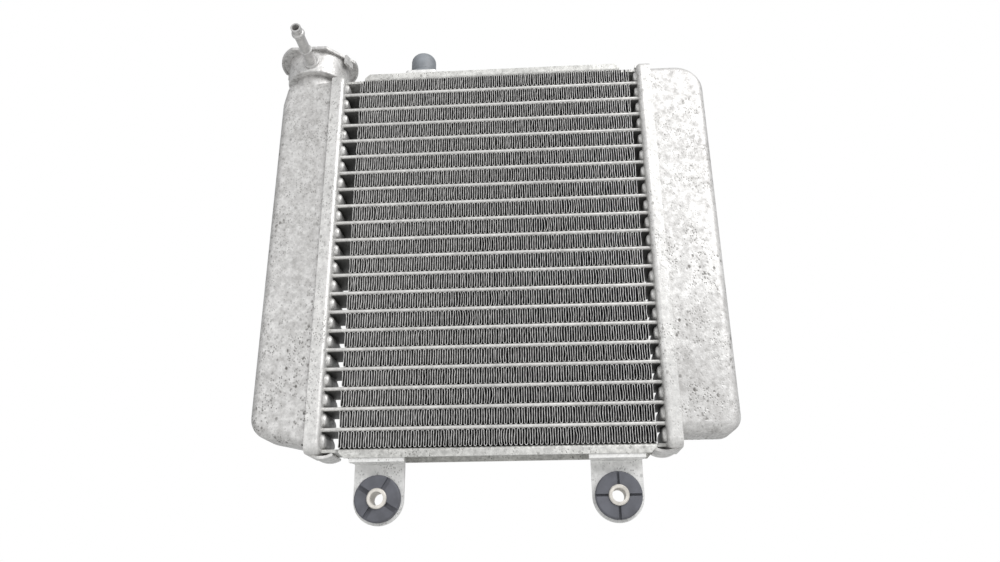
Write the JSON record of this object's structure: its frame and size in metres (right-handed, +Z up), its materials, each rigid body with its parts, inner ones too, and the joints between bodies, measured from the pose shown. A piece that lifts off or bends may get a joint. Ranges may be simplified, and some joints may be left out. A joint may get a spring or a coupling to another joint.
{
  "type": "engine coolant radiator",
  "caption": "Cross-flow coolant radiator: finned tube core between two end tanks, filler neck with overflow nipple, lower brackets with rubber grommets and an upper mounting bush.",
  "frame": {"origin": "midpoint between the two lower mounting holes, on the middle plane of the core", "axes": "+X to the right seen from the front, along the tubes; +Y out of the back of the core, the way the hose pipes point; +Z up, from the lower mounting holes to the filler neck"},
  "size_m": [0.2417, 0.0904, 0.2657],
  "materials": {
    "core_tubes": "bare extruded aluminium, dull and slightly dusty",
    "core_fins": "thin rolled aluminium fin strip, bright on its folds and dull with dust between them",
    "header_sheet": "pressed and brazed aluminium sheet with a pale matt film",
    "side_plate_sheet": "folded aluminium sheet, rough and mottled white with oxidation",
    "tank_aluminium": "pale cast-look aluminium, mottled with oxidation and small dark pits",
    "neck_aluminium": "turned and pressed aluminium, satin with fine scratches",
    "pipe_aluminium": "satin drawn aluminium tube",
    "bracket_sheet": "clean folded aluminium sheet, pale satin",
    "grommet_rubber": "dark blue-grey matt rubber",
    "bush_rubber": "blue-grey matt rubber",
    "plated_steel": "zinc plated steel, pale and satin"
  },
  "bodies": {
    "root": {"tube_01": "core_tubes", "tube_02": "core_tubes", "tube_03": "core_tubes", "tube_04": "core_tubes", "tube_05": "core_tubes", "tube_06": "core_tubes", "tube_07": "core_tubes", "tube_08": "core_tubes", "tube_09": "core_tubes", "tube_10": "core_tubes", "tube_11": "core_tubes", "tube_12": "core_tubes", "tube_13": "core_tubes", "tube_14": "core_tubes", "tube_15": "core_tubes", "tube_16": "core_tubes", "tube_17": "core_tubes", "tube_18": "core_tubes", "tube_19": "core_tubes", "tube_20": "core_tubes", "fin_01": "core_fins", "fin_02": "core_fins", "fin_03": "core_fins", "fin_04": "core_fins", "fin_05": "core_fins", "fin_06": "core_fins", "fin_07": "core_fins", "fin_08": "core_fins", "fin_09": "core_fins", "fin_10": "core_fins", "fin_11": "core_fins", "fin_12": "core_fins", "fin_13": "core_fins", "fin_14": "core_fins", "fin_15": "core_fins", "fin_16": "core_fins", "fin_17": "core_fins", "fin_18": "core_fins", "fin_19": "core_fins", "fin_20": "core_fins", "fin_21": "core_fins", "left_header": "header_sheet", "right_header": "header_sheet", "top_side_plate": "side_plate_sheet", "bottom_side_plate": "side_plate_sheet", "left_tank": "tank_aluminium", "right_tank": "tank_aluminium", "filler_neck": "neck_aluminium", "overflow_nipple": "pipe_aluminium", "inlet_pipe": "pipe_aluminium", "outlet_pipe": "pipe_aluminium", "left_bracket": "bracket_sheet", "right_bracket": "bracket_sheet", "upper_mount_bracket": "bracket_sheet", "left_grommet": "grommet_rubber", "right_grommet": "grommet_rubber", "upper_mount_bush": "bush_rubber", "left_collar": "plated_steel", "right_collar": "plated_steel", "upper_mount_pin": "plated_steel"}
  },
  "joints": []
}
